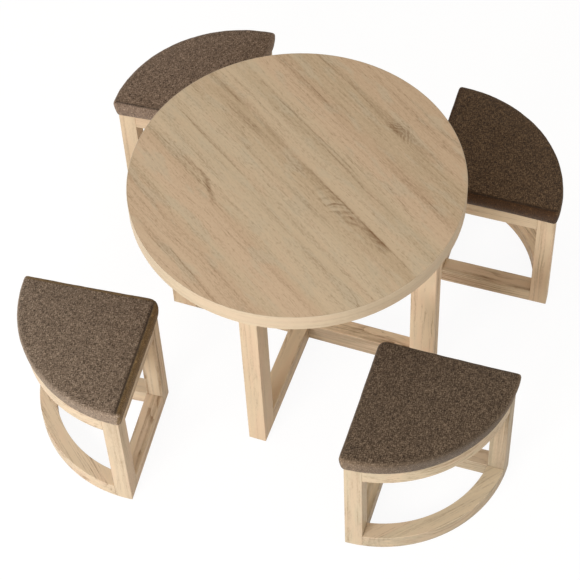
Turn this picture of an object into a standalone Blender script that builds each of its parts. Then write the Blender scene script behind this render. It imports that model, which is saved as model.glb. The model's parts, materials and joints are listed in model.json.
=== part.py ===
"""Round dining table on a crossed base, with four quarter-circle stools that nest between its legs.

Metres, +Z up. The origin is on the floor under the middle of the tabletop, and +X runs along the right arm of the
cross. A stool is modelled in its own frame: its square corner at the origin, its two straight sides along +X and +Y,
and its arc centred on that corner. Left and right are as seen from the arc side, looking at the corner.
"""

import math

import bmesh
import bpy
from mathutils import Matrix, Vector

# Clearances and edges that every piece shares
FIT_GAP = 0.0003
ARRIS = 0.001
CUT_OVERRUN = 0.002

# Tabletop
TABLE_HEIGHT = 0.752
TOP_RADIUS = 0.490
TOP_THICKNESS = 0.055
TOP_OVERHANG = 0.057
BAND_THICKNESS = 0.002
BAND_ARRIS = 0.0012
TOP_STEPS = 120

# Crossed base, whose legs stand back from the tabletop's edge by its overhang
ARM_REACH = TOP_RADIUS - TOP_OVERHANG
ARM_WIDTH = 0.054
LEG_DEPTH = 0.076
FLOOR_RAIL_TOP = 0.072
TOP_RAIL_HEIGHT = 0.060

# Feet under the legs, the crossing and the stools' posts, which keep the rails just off the floor
FOOT_HEIGHT = 0.002
FOOT_INSET = 0.009

# Steel angles between the top and its rails
BRACKET_FLANGE = 0.032
BRACKET_WIDTH = 0.026
BRACKET_SHEET = 0.0025
BRACKET_HOLE_RADIUS = 0.0025
BRACKET_HOLE_FROM_CORNER = 0.019
BRACKET_FROM_MIDDLE = 0.190
BRACKET_HOLE_STEPS = 12

# Stool frame
STOOL_SIDE = 0.395
POST_WIDTH = 0.052
POST_DEPTH = 0.054
STOOL_FRAME_HEIGHT = 0.418
STOOL_TOP_RAIL_HEIGHT = 0.049
STOOL_FLOOR_RAIL_TOP = 0.054
ARC_STEPS = 24
POST_ARC_STEPS = 4

# Seat
BOARD_THICKNESS = 0.012
BOARD_INSET = 0.016
CUSHION_THICKNESS = 0.061
CUSHION_CROWN = 0.007
CUSHION_SIDE_OVERHANG = 0.008
CUSHION_ARC_OVERHANG = 0.005
CUSHION_BULGE = 0.003
CUSHION_TUCK = 0.003
CUSHION_TUCK_HEIGHT = 0.005
CUSHION_DRAW_IN = 0.002
CUSHION_ROUND_OVER = 0.008
CUSHION_CORNER_RADIUS = 0.022
CUSHION_END_RADIUS = 0.010
CUSHION_SIDE_STEPS = 6
CUSHION_ARC_STEPS = 20
CUSHION_CORNER_STEPS = 5
CUSHION_END_STEPS = 4
ROUND_OVER_STEPS = 4
BULGE_RING_SHARES = (0.0, 0.25, 0.6)
CROWN_MIDDLE_SHARE = 0.43
CROWN_RING_SHARES = (0.86, 0.66, 0.42, 0.2)

# Where the stools stand, pulled out: each corner's place along X and Y as shares of the tabletop's radius, then how
# far the stool is turned past its own quarter of the cross
STOOL_QUARTERS = ("back_right", "back_left", "front_left", "front_right")
STOOL_CORNER_SHARES = ((0.627, 0.649), (-0.680, 0.734), (-0.657, -0.729), (0.724, -0.598))
STOOL_TURN_DEGREES = (1.5, 3.7, 5.4, 1.6)

QUARTER_TURN = math.radians(90)
SHARP_ANGLE = math.radians(30)

# Colours as linear red, green and blue, then roughness and metallic
FINISHES = {
    "oak_board": ((0.50, 0.37, 0.24), 0.5, 0.0),
    "oak_frame": ((0.64, 0.48, 0.32), 0.5, 0.0),
    "oak_edge_band": ((0.72, 0.56, 0.39), 0.45, 0.0),
    "woven_fabric": ((0.13, 0.10, 0.075), 0.95, 0.0),
    "plywood": ((0.55, 0.40, 0.24), 0.7, 0.0),
    "zinc_plated_steel": ((0.55, 0.55, 0.56), 0.35, 1.0),
}


def clear_scene():
    for obj in list(bpy.data.objects):
        bpy.data.objects.remove(obj, do_unlink=True)


def make_materials():
    materials = {}
    for name, (colour, roughness, metallic) in FINISHES.items():
        material = bpy.data.materials.new(name)
        material.use_nodes = True
        shader = material.node_tree.nodes["Principled BSDF"]
        shader.inputs["Base Color"].default_value = (*colour, 1.0)
        shader.inputs["Roughness"].default_value = roughness
        shader.inputs["Metallic"].default_value = metallic
        material.diffuse_color = (*colour, 1.0)
        materials[name] = material
    return materials


def to_mesh(name, bm, material=None):
    """Turns the working mesh into a mesh with outward faces and smooth shading between sharp edges."""
    bmesh.ops.recalc_face_normals(bm, faces=bm.faces)
    mesh = bpy.data.meshes.new(name)
    bm.to_mesh(mesh)
    bm.free()
    mesh.shade_smooth()
    mesh.set_sharp_from_angle(angle=SHARP_ANGLE)
    if material:
        mesh.materials.append(material)
    return mesh


def place(name, mesh, parent=None):
    """Puts a mesh in the scene as one named piece."""
    obj = bpy.data.objects.new(name, mesh)
    bpy.context.scene.collection.objects.link(obj)
    obj.parent = parent
    return obj


def rectangle(low, high):
    """The outline of a rectangle between two (x, y) corners."""
    return [(low[0], low[1]), (high[0], low[1]), (high[0], high[1]), (low[0], high[1])]


def arc_points(centre, radius, start, end, steps):
    """Points along an arc, both ends included."""
    angles = [start + (end - start) * i / steps for i in range(steps + 1)]
    return [(centre[0] + radius * math.cos(a), centre[1] + radius * math.sin(a)) for a in angles]


def swapped(outline):
    """The same outline on a stool's other straight side, mirrored across its diagonal."""
    return [(y, x) for x, y in reversed(outline)]


def prism(outline, low, high):
    """An upright solid from a closed outline of (x, y) points."""
    bm = bmesh.new()
    base = bm.faces.new([bm.verts.new((x, y, low)) for x, y in outline])
    grown = bmesh.ops.extrude_face_region(bm, geom=[base])["geom"]
    moved = [v for v in grown if isinstance(v, bmesh.types.BMVert)]
    bmesh.ops.translate(bm, verts=moved, vec=(0, 0, high - low))
    bmesh.ops.recalc_face_normals(bm, faces=bm.faces)
    return bm


def side_prism(side_view, half_width):
    """A solid from a closed side view of (x, z) points, reaching as far on each side of the XZ plane."""
    bm = prism(side_view, -half_width, half_width)
    bmesh.ops.rotate(bm, verts=bm.verts, cent=(0, 0, 0), matrix=Matrix.Rotation(QUARTER_TURN, 3, "X"))
    return bm


def ease_edges(bm):
    """Cuts a small flat on every sharp edge, as a sanded piece of wood has."""
    sharp = [e for e in bm.edges if e.is_manifold and e.calc_face_angle() > SHARP_ANGLE]
    bmesh.ops.bevel(bm, geom=sharp, offset=ARRIS, affect="EDGES", segments=1, profile=0.5, material=-1)


def add_foot(bm):
    """Grows a foot down to the floor from the face of the underside that is nearest to the piece's origin."""
    lowest = min(v.co.z for v in bm.verts)
    soles = [face for face in bm.faces if all(v.co.z - lowest < FIT_GAP for v in face.verts)]
    sole = min(soles, key=lambda face: face.calc_center_median().length)
    bmesh.ops.inset_individual(bm, faces=[sole], thickness=FOOT_INSET, use_even_offset=True)
    grown = bmesh.ops.extrude_discrete_faces(bm, faces=[sole])["faces"]
    bmesh.ops.translate(bm, verts=grown[0].verts, vec=(0, 0, -FOOT_HEIGHT))


def make_tabletop(materials):
    low = TABLE_HEIGHT - TOP_THICKNESS
    inner = TOP_RADIUS - BAND_THICKNESS
    panel = bmesh.new()
    bmesh.ops.create_cone(
        panel, cap_ends=True, segments=TOP_STEPS, radius1=inner - FIT_GAP, radius2=inner - FIT_GAP,
        depth=TOP_THICKNESS, matrix=Matrix.Translation((0, 0, low + TOP_THICKNESS / 2)),
    )
    place("tabletop_panel", to_mesh("tabletop_panel", panel, materials["oak_board"]))

    profile = [
        (inner, low),
        (TOP_RADIUS - BAND_ARRIS, low),
        (TOP_RADIUS, low + BAND_ARRIS),
        (TOP_RADIUS, TABLE_HEIGHT - BAND_ARRIS),
        (TOP_RADIUS - BAND_ARRIS, TABLE_HEIGHT),
        (inner, TABLE_HEIGHT),
    ]
    band = bmesh.new()
    corners = [band.verts.new((radius, 0, z)) for radius, z in profile]
    edges = [band.edges.new((corners[i - 1], corners[i])) for i in range(len(corners))]
    bmesh.ops.spin(
        band, geom=corners + edges, cent=(0, 0, 0), axis=(0, 0, 1), angle=4 * QUARTER_TURN, steps=TOP_STEPS,
        use_merge=True,
    )
    place("tabletop_edge_band", to_mesh("tabletop_edge_band", band, materials["oak_edge_band"]))


def make_legs(materials):
    high = TABLE_HEIGHT - TOP_THICKNESS - FIT_GAP
    outline = rectangle((ARM_REACH - LEG_DEPTH, -ARM_WIDTH / 2), (ARM_REACH, ARM_WIDTH / 2))
    leg = prism(outline, FOOT_HEIGHT, high)
    ease_edges(leg)
    add_foot(leg)
    mesh = to_mesh("leg", leg, materials["oak_frame"])
    for quarter, side in enumerate(("right", "back", "left", "front")):
        obj = place(f"leg_{side}", mesh)
        obj.rotation_euler.z = quarter * QUARTER_TURN


def halved_rail(low, high, lap_below):
    """A rail along X from leg to leg, with the notch of a half-lap joint in its middle."""
    end = ARM_REACH - LEG_DEPTH - FIT_GAP
    crossing = ARM_WIDTH / 2
    notch = crossing + FIT_GAP
    notch_floor = (low + high - FIT_GAP) / 2
    side_view = [
        (-end, low),
        (-crossing, low),
        (crossing, low),
        (end, low),
        (end, high),
        (notch, high),
        (notch, notch_floor),
        (-notch, notch_floor),
        (-notch, high),
        (-end, high),
    ]
    if lap_below:
        side_view = [(x, low + high - z) for x, z in reversed(side_view)]
    rail = side_prism(side_view, ARM_WIDTH / 2)
    ease_edges(rail)
    return rail


def make_crosses(materials):
    under_top = TABLE_HEIGHT - TOP_THICKNESS - FIT_GAP
    heights = {"floor_rail": (FOOT_HEIGHT, FLOOR_RAIL_TOP), "top_rail": (under_top - TOP_RAIL_HEIGHT, under_top)}
    for name, (low, high) in heights.items():
        for axis, lap_below, turn in (("x", False, 0), ("y", True, QUARTER_TURN)):
            rail = halved_rail(low, high, lap_below)
            if name == "floor_rail" and not lap_below:
                add_foot(rail)
            obj = place(f"{name}_{axis}", to_mesh(f"{name}_{axis}", rail, materials["oak_frame"]))
            obj.rotation_euler.z = turn


def bracket_drill_mesh():
    """The two screw holes of a bracket, one through each flange, as one cutter."""
    drill = bmesh.new()
    holes = (
        Matrix.Translation((BRACKET_HOLE_FROM_CORNER, 0, 0)),
        Matrix.Translation((0, 0, -BRACKET_HOLE_FROM_CORNER)) @ Matrix.Rotation(QUARTER_TURN, 4, "Y"),
    )
    for matrix in holes:
        bmesh.ops.create_cone(
            drill, cap_ends=True, segments=BRACKET_HOLE_STEPS, radius1=BRACKET_HOLE_RADIUS,
            radius2=BRACKET_HOLE_RADIUS, depth=2 * (BRACKET_SHEET + CUT_OVERRUN), matrix=matrix,
        )
    return to_mesh("bracket_drill", drill)


def make_brackets(materials):
    """A steel angle on each arm: one flange on the top rail's side and the other under the tabletop."""
    flange = BRACKET_FLANGE
    sheet = BRACKET_SHEET
    side_view = [(0, 0), (0, -flange), (sheet, -flange), (sheet, -sheet), (flange, -sheet), (flange, 0)]
    mesh = to_mesh("bracket", side_prism(side_view, BRACKET_WIDTH / 2), materials["zinc_plated_steel"])
    drill = bracket_drill_mesh()
    from_axis = ARM_WIDTH / 2 + FIT_GAP
    under_top = TABLE_HEIGHT - TOP_THICKNESS - FIT_GAP
    for quarter, side in enumerate(("right", "back", "left", "front")):
        arm = Matrix.Rotation(quarter * QUARTER_TURN, 4, "Z")
        spot = Matrix.Translation((BRACKET_FROM_MIDDLE, from_axis, under_top))
        matrix = arm @ spot @ Matrix.Rotation(QUARTER_TURN, 4, "Z")
        cutter = place(f"bracket_drill_{side}", drill)
        cutter.matrix_world = matrix
        cutter.hide_render = True
        cutter.display_type = "WIRE"
        bracket = place(f"top_bracket_{side}", mesh)
        bracket.matrix_world = matrix
        holes = bracket.modifiers.new("screw_holes", "BOOLEAN")
        holes.operation = "DIFFERENCE"
        holes.solver = "EXACT"
        holes.object = cutter


def end_post_outline():
    """The post at the end of the left side: square inside, its outer face on the arc."""
    outer = arc_points((0, 0), STOOL_SIDE, 0, math.asin(POST_WIDTH / STOOL_SIDE), POST_ARC_STEPS)
    inner = STOOL_SIDE - POST_DEPTH
    return [(inner, 0)] + outer + [(inner, POST_WIDTH)]


def side_rail_outline():
    """The left straight rail, between the corner post and the end post."""
    return rectangle((POST_WIDTH + FIT_GAP, 0), (STOOL_SIDE - POST_DEPTH - FIT_GAP, POST_WIDTH))


def arc_rail_outline():
    """The curved rail, cut square to the straight sides where it meets the end posts."""
    start = POST_WIDTH + FIT_GAP
    inner = math.hypot(STOOL_SIDE - POST_DEPTH, POST_WIDTH)
    outer_start = math.asin(start / STOOL_SIDE)
    inner_start = math.asin(start / inner)
    outer_arc = arc_points((0, 0), STOOL_SIDE, outer_start, QUARTER_TURN - outer_start, ARC_STEPS)
    inner_arc = arc_points((0, 0), inner, QUARTER_TURN - inner_start, inner_start, ARC_STEPS)
    return outer_arc + inner_arc


def frame_meshes(wood):
    """The meshes of one stool's wooden frame, by piece name."""
    posts = {
        "inner_post": rectangle((0, 0), (POST_WIDTH, POST_WIDTH)),
        "left_post": end_post_outline(),
        "right_post": swapped(end_post_outline()),
    }
    rails = {
        "left": side_rail_outline(),
        "right": swapped(side_rail_outline()),
        "arc": arc_rail_outline(),
    }
    levels = {
        "bottom": (FOOT_HEIGHT, STOOL_FLOOR_RAIL_TOP),
        "top": (STOOL_FRAME_HEIGHT - STOOL_TOP_RAIL_HEIGHT, STOOL_FRAME_HEIGHT),
    }
    meshes = {}
    for name, outline in posts.items():
        post = prism(outline, FOOT_HEIGHT, STOOL_FRAME_HEIGHT)
        ease_edges(post)
        add_foot(post)
        meshes[name] = to_mesh(f"stool_{name}", post, wood)
    for side, outline in rails.items():
        for level, (low, high) in levels.items():
            rail = prism(outline, low, high)
            ease_edges(rail)
            meshes[f"{side}_{level}_rail"] = to_mesh(f"stool_{side}_{level}_rail", rail, wood)
    return meshes


def seat_outline(side_proud, arc_proud, draw_in=0.0):
    """The seat's outline, proud of the frame's straight sides and arc, with rounded corners and drawn-in sides."""
    arc_radius = STOOL_SIDE + arc_proud
    corner = max(CUSHION_CORNER_RADIUS + side_proud, ARRIS)
    end = max(CUSHION_END_RADIUS + side_proud, ARRIS)
    end_x = math.sqrt((arc_radius - end) ** 2 - (end - side_proud) ** 2)
    end_angle = math.atan2(end - side_proud, end_x)
    start_x = corner - side_proud

    corner_arc = arc_points((start_x, start_x), corner, 2 * QUARTER_TURN, 3 * QUARTER_TURN, CUSHION_CORNER_STEPS)
    left_side = []
    for i in range(1, CUSHION_SIDE_STEPS):
        share = i / CUSHION_SIDE_STEPS
        drawn = draw_in * math.sin(math.pi * share)
        left_side.append((start_x + (end_x - start_x) * share, drawn - side_proud))
    left_end = arc_points((end_x, end - side_proud), end, -QUARTER_TURN, end_angle, CUSHION_END_STEPS)
    arc = arc_points((0, 0), arc_radius, end_angle, QUARTER_TURN - end_angle, CUSHION_ARC_STEPS)[1:-1]
    first_half = left_side + left_end
    return corner_arc + first_half + arc + swapped(first_half)


def ring_of(bm, outline, height):
    return [bm.verts.new((x, y, height)) for x, y in outline]


def skin(bm, lower, upper):
    """Faces between two rings with the same number of points."""
    for i in range(len(lower)):
        bm.faces.new((lower[i - 1], lower[i], upper[i], upper[i - 1]))


def close_ring(bm, ring, middle):
    """A fan of faces from a ring to one point in its middle."""
    centre = bm.verts.new(middle)
    for i in range(len(ring)):
        bm.faces.new((ring[i - 1], ring[i], centre))


def cushion_outline(grown=0.0):
    """The cushion's outline where it overhangs the frame, grown or, below zero, shrunk all round."""
    return seat_outline(CUSHION_SIDE_OVERHANG + grown, CUSHION_ARC_OVERHANG + grown, CUSHION_DRAW_IN)


def cushion_mesh(fabric):
    """The padded seat: tucked in underneath with a recess for its board, bulging sides, a round-over and a crown."""
    bottom = STOOL_FRAME_HEIGHT + FIT_GAP
    edge_top = bottom + CUSHION_THICKNESS
    wall_bottom = bottom + CUSHION_TUCK_HEIGHT
    wall_top = edge_top - CUSHION_ROUND_OVER
    recess_top = bottom + BOARD_THICKNESS + FIT_GAP
    middle = STOOL_SIDE * CROWN_MIDDLE_SHARE

    bm = bmesh.new()
    recess = seat_outline(FIT_GAP - BOARD_INSET, FIT_GAP - BOARD_INSET)
    recess_ceiling = ring_of(bm, recess, recess_top)
    recess_mouth = ring_of(bm, recess, bottom)
    rings = [ring_of(bm, cushion_outline(-CUSHION_TUCK), bottom)]
    for share in BULGE_RING_SHARES:
        bulge = CUSHION_BULGE * math.sin(math.pi * share)
        rings.append(ring_of(bm, cushion_outline(bulge), wall_bottom + (wall_top - wall_bottom) * share))
    for i in range(ROUND_OVER_STEPS + 1):
        angle = QUARTER_TURN * i / ROUND_OVER_STEPS
        shrunk = CUSHION_ROUND_OVER * (1 - math.cos(angle))
        height = wall_top + CUSHION_ROUND_OVER * math.sin(angle)
        rings.append(ring_of(bm, cushion_outline(-shrunk), height))
    edge = cushion_outline(-CUSHION_ROUND_OVER)
    for share in CROWN_RING_SHARES:
        outline = [(middle + (x - middle) * share, middle + (y - middle) * share) for x, y in edge]
        rings.append(ring_of(bm, outline, edge_top + CUSHION_CROWN * (1 - share ** 2)))

    close_ring(bm, recess_ceiling, (middle, middle, recess_top))
    skin(bm, recess_ceiling, recess_mouth)
    skin(bm, recess_mouth, rings[0])
    for lower, upper in zip(rings, rings[1:]):
        skin(bm, lower, upper)
    close_ring(bm, rings[-1], (middle, middle, edge_top + CUSHION_CROWN))
    return to_mesh("stool_cushion", bm, fabric)


def seat_board_mesh(plywood):
    low = STOOL_FRAME_HEIGHT + FIT_GAP
    outline = seat_outline(-BOARD_INSET, -BOARD_INSET)
    return to_mesh("stool_seat_board", prism(outline, low, low + BOARD_THICKNESS), plywood)


def make_stools(materials):
    pieces = frame_meshes(materials["oak_frame"])
    pieces["seat_board"] = seat_board_mesh(materials["plywood"])
    pieces["cushion"] = cushion_mesh(materials["woven_fabric"])
    for quarter, name in enumerate(STOOL_QUARTERS):
        corner = Vector(STOOL_CORNER_SHARES[quarter]) * TOP_RADIUS
        stool = bpy.data.objects.new(f"stool_{name}", None)
        bpy.context.scene.collection.objects.link(stool)
        stool.location = corner.to_3d()
        stool.rotation_euler.z = quarter * QUARTER_TURN + math.radians(STOOL_TURN_DEGREES[quarter])
        for piece, mesh in pieces.items():
            place(f"stool_{name}_{piece}", mesh, stool)


def main():
    clear_scene()
    materials = make_materials()
    make_tabletop(materials)
    make_legs(materials)
    make_crosses(materials)
    make_brackets(materials)
    make_stools(materials)


main()
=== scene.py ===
"""Looks of a round oak dining table with four quarter-circle padded stools that nest between its legs.

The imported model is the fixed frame. This script gives every wooden piece its own oak, replaces the four plain
cushions with padded, fabric-covered ones, adds the screws of the steel angles, and sets up the floor, light and camera.
It is laid out as an add-on and runs as a script. Everything is in metres, with +Z up.
"""

import json
import math
import random

import bmesh
import bpy
import numpy as np
from mathutils import Matrix, Vector, noise

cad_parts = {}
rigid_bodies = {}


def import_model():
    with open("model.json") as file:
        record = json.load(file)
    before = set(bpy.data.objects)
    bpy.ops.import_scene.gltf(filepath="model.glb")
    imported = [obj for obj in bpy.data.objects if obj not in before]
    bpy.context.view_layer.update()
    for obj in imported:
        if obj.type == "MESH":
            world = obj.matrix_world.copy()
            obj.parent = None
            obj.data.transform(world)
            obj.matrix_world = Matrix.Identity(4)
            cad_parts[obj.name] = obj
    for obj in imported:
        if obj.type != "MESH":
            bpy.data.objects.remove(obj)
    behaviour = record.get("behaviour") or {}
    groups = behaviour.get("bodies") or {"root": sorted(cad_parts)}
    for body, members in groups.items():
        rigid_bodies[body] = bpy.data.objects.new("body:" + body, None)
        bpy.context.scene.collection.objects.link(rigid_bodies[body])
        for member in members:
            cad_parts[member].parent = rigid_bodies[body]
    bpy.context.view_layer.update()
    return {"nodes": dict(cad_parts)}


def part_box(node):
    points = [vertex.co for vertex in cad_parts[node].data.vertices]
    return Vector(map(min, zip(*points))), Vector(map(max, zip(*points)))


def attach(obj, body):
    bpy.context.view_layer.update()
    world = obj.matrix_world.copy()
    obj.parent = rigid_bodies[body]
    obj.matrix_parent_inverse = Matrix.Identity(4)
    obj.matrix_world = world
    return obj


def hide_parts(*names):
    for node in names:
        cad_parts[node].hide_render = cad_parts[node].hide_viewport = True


bl_info = {
    "name": "Round table with nesting stools",
    "version": (1, 0, 0),
    "blender": (4, 5, 0),
    "location": "3D View > Sidebar > Table set",
    "description": "Finishes, padded seats, fittings and studio for a round table with four nesting stools",
    "category": "Object",
}

for leftover in list(bpy.data.objects):
    bpy.data.objects.remove(leftover, do_unlink=True)

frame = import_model()
NODES = frame["nodes"]

QUARTER_TURN = math.radians(90)
WELD = 0.00001

# The stools in the order of the quarters of the cross that they stand in
STOOLS = ("back_right", "back_left", "front_left", "front_right")
SIDES = ("right", "back", "left", "front")

# Sizes read from the frame
TABLE_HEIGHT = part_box("tabletop_panel")[1].z
TOP_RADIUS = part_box("tabletop_edge_band")[1].x

# The tabletop's staves: where the middle of each lies across the grain, its tint, and how light it is
TOP_GRAIN_TURN = math.radians(-34)
TOP_STAVES = (
    (-0.478, "rosy", 1.05), (-0.442, "rosy", 0.95), (-0.415, "rosy", 1.01), (-0.388, "rosy", 0.99),
    (-0.360, "rosy", 0.94), (-0.335, "plain", 1.02), (-0.300, "rosy", 1.04), (-0.262, "rosy", 1.03),
    (-0.241, "rosy", 0.95), (-0.222, "plain", 1.00), (-0.196, "plain", 1.07), (-0.165, "cool", 1.04),
    (-0.128, "cool", 1.00), (-0.098, "cool", 1.02), (-0.070, "cool", 1.08), (-0.040, "cool", 0.98),
    (-0.010, "plain", 0.97), (0.018, "plain", 0.89), (0.044, "plain", 0.86), (0.058, "plain", 1.00),
    (0.080, "plain", 1.06), (0.104, "cool", 1.03), (0.120, "cool", 0.92), (0.143, "cool", 0.92),
    (0.158, "plain", 1.03), (0.195, "rosy", 1.02), (0.224, "rosy", 1.01), (0.242, "rosy", 0.89),
    (0.285, "plain", 0.90), (0.338, "plain", 0.87), (0.378, "rosy", 0.95), (0.440, "rosy", 0.93),
)
# How much of a stave's lightness goes to red, green and blue: a dark stave is also warmer
SHADE_POWERS = (0.88, 1.05, 1.30)
# Dark lines of pores: where across the grain, from where to where along it, and how far each wanders
TOP_LINES = (
    (0.247, -0.42, -0.06, 0.006), (0.243, 0.16, 0.38, 0.008), (0.146, -0.30, 0.10, 0.008), (0.132, -0.08, 0.30, 0.012),
    (0.050, -0.02, 0.48, 0.002), (0.046, -0.46, -0.34, 0.004), (0.012, -0.38, -0.16, 0.008),
    (-0.113, -0.42, -0.10, 0.004), (-0.100, 0.32, 0.47, 0.030), (-0.130, 0.38, 0.48, 0.020),
    (-0.214, -0.40, -0.30, 0.008), (-0.236, -0.10, 0.02, 0.006),
    (-0.430, -0.22, 0.12, 0.006), (-0.447, -0.10, 0.18, 0.006), (0.340, -0.37, 0.30, 0.006),
)
# Soft dark streaks: where across the grain, from where to where along it, half its width, and how dark it is
TOP_SMUDGES = (
    (0.342, -0.14, 0.06, 0.012, 0.16), (0.326, 0.10, 0.34, 0.020, 0.10), (0.288, 0.12, 0.40, 0.026, 0.10),
    (0.240, -0.44, -0.14, 0.010, 0.18), (0.236, 0.12, 0.42, 0.012, 0.16), (0.135, -0.22, 0.06, 0.016, 0.18),
    (0.118, -0.32, -0.12, 0.010, 0.12), (0.044, -0.48, -0.14, 0.012, 0.22), (0.018, -0.44, -0.20, 0.010, 0.20),
    (0.034, -0.12, 0.10, 0.014, 0.14), (0.000, 0.22, 0.42, 0.012, 0.10), (-0.032, 0.00, 0.24, 0.016, 0.12),
    (-0.112, -0.44, -0.16, 0.006, 0.18), (-0.222, -0.44, -0.16, 0.014, 0.14), (-0.240, 0.00, 0.36, 0.014, 0.09),
    (-0.345, -0.34, -0.16, 0.022, 0.14), (-0.395, -0.26, 0.02, 0.014, 0.10), (-0.440, -0.16, 0.16, 0.012, 0.16),
)
# How much paler the wood of the base and the stools is than the tabletop's
FRAME_LIFTS = {"stool_front_right": (1.005, 1.085, 1.145), "stool_front_left": (1.020, 1.070, 1.140)}
FRAME_LIFT = (1.040, 1.065, 1.095)
# How light a board is, and how bold its figure, where they differ from the rest. The lightness is partly the board's
# own tone and partly painted light and shade, such as the front right stool's right post, darkened as painted shade
# under its seat
BOARD_LOOKS_AND_SHADE = {
    "leg_front": (1.04, 0.9), "leg_right": (1.19, 1.4), "leg_left": (1.14, 1.0), "leg_back": (1.06, 1.0),
    "floor_rail_x": (1.00, 1.5), "floor_rail_y": (1.03, 1.3), "stool_back_left_right_post": (1.08, 0.5),
    "stool_back_right_left_post": (1.08, 1.1), "stool_back_right_left_bottom_rail": (1.04, 1.8),
    "stool_back_right_arc_top_rail": (1.20, 1.2), "stool_back_right_arc_bottom_rail": (1.25, 1.2),
    "stool_front_left_inner_post": (1.02, 1.9), "stool_front_left_right_post": (0.97, 0.7),
    "stool_front_left_right_bottom_rail": (1.04, 1.6), "stool_front_left_arc_bottom_rail": (1.06, 1.3),
    "stool_front_right_left_post": (0.96, 0.5), "stool_front_right_right_post": (0.71, 1.2),
    "stool_front_right_arc_bottom_rail": (1.04, 1.0),
}
ANY_BOARD = (1.0, 1.0)
# Low rails whose upper face is painted lighter than their sides, as painted light and shade: how light each of the two
# is
PAINTED_TOP_LIGHT_SIDE_SHADE = {
    "floor_rail_x": (1.28, 0.76), "floor_rail_y": (1.10, 0.95), "stool_front_right_arc_bottom_rail": (1.15, 0.84),
    "stool_front_left_arc_bottom_rail": (1.10, 0.93), "stool_back_right_arc_bottom_rail": (1.10, 1.03),
}
# Tones of a board's warm and cool patches and pale streaks, and of the edge band
WARM_PATCHES = 0.97
COOL_PATCHES = 0.93
PALE_STREAKS = 1.22
BAND_LIFT = (1.00, 1.10, 1.22)

# Birch plywood: its pale and dark wood, the dark layers on its edge, and how thick two layers are
BIRCH_PALE = (0.66, 0.50, 0.32)
BIRCH_DARK = (0.50, 0.35, 0.20)
BIRCH_EDGE = (0.34, 0.22, 0.12)
VENEER = 0.0026
ZINC = (0.62, 0.62, 0.63)
ZINC_ROUGHNESS = 0.30

# The flecks of the yarn, and the tint of the painted light on the band round a seat's arc
FLECK_LENGTH = 0.0130
FLECK_WIDTH = 0.0026
PAINTED_ARC_LIGHT_TINT = (0.99, 1.03, 1.07)


def swatch(name, description, default):
    """A colour that the user can set."""
    return bpy.props.FloatVectorProperty(
        name=name, description=description, default=default, subtype="COLOR", min=0.0, max=1.0)


def metres(name, description, default):
    """A length that the user can set."""
    return bpy.props.FloatProperty(name=name, description=description, default=default, unit="LENGTH")


def fraction(name, description, default):
    """A number from 0 to 1 that the user can set."""
    return bpy.props.FloatProperty(name=name, description=description, default=default, min=0.0, max=1.0)


def degrees(name, description, default):
    """An angle that the user can set, its default given in degrees."""
    return bpy.props.FloatProperty(
        name=name, description=description, default=math.radians(default), subtype="ANGLE")


class OakSettings(bpy.types.PropertyGroup):
    """Colours and measures of the oak."""

    plain: swatch("Plain", "The wood between its streaks", (0.6, 0.47, 0.32))
    rosy: swatch("Rosy", "Tint of the warm staves", (0.618, 0.46, 0.314))
    cool: swatch("Cool", "Tint of the greyish staves", (0.592, 0.472, 0.324))
    moss: swatch("Moss", "Greenish patches of the tabletop", (0.565, 0.478, 0.345))
    deep: swatch("Deep", "Pores and late wood", (0.245, 0.148, 0.076))
    ring: metres("Ring", "Width of one year's growth", 0.0085)
    roughness: fraction("Roughness", "Roughness of the satin lacquer", 0.54)
    shine: fraction("Shine", "Strength of the lacquer's reflection", 0.24)
    relief: metres("Relief", "Depth of the pores", 0.0004)


class FabricSettings(bpy.types.PropertyGroup):
    """Colours and measures of the woven seat cover."""

    light: swatch("Light yarn", "Pale flecks of the yarn", (0.42, 0.325, 0.24))
    middle: swatch("Middle yarn", "Most of the yarn", (0.19, 0.138, 0.096))
    dark: swatch("Dark yarn", "Dark flecks and the gaps between yarns", (0.052, 0.034, 0.021))
    pitch: metres("Pitch", "From one yarn to the next", 0.0023)
    relief: metres("Relief", "How far a yarn stands up", 0.0007)
    roughness: fraction("Roughness", "Roughness of the yarn", 0.92)
    sheen: fraction("Sheen", "Soft glow of the fibres at the edges", 0.16)


class SeatSettings(bpy.types.PropertyGroup):
    """How the padded seats are made."""

    fuller: metres("Fuller", "How much the seat stands out past its plain cushion", 0.0025)
    bulge: metres("Bulge", "How far the straight sides stand out at half their height", 0.004)
    end_radius: metres("End radius", "Rounding of the two ends of the arc, in plan", 0.008)
    edge_radius: metres("Edge radius", "Rounding of the top edges", 0.009)
    crown: metres("Crown", "How much higher the middle is than the edges", 0.006)
    taper: metres("Taper", "How far the sides run in towards the frame at the bottom", 0.01)
    draw_in: metres("Draw-in", "How far the straight sides pull in between corners", 0.002)
    voxel: metres("Voxel", "Size of the cells that the cloth is made of", 0.0045)
    pressure: bpy.props.FloatProperty(
        name="Pressure", description="Pressure of the foam on its cover", default=4.0)
    steps: bpy.props.IntProperty(
        name="Steps", description="Frames of simulation", default=20, min=2)
    swell: metres("Swell", "Furthest that a point of the top moves", 0.005)
    side_swell: metres("Side swell", "Furthest that a point of the sides moves", 0.002)
    unevenness: metres("Unevenness", "Depth of the small hollows in the cover", 0.0008)
    seam_inset: metres("Seam inset", "From the arc in to the seam of the top", 0.0085)
    seam_depth: metres("Seam depth", "How far the seam is sunk along a straight side", 0.0032)
    roll_off: metres("Roll-off", "How far the cover falls from the seam to a straight side's edge", 0.003)
    fill: fraction("Fill", "How tight the pad is, from slack at 0 to tight at 1", 0.85)


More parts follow.
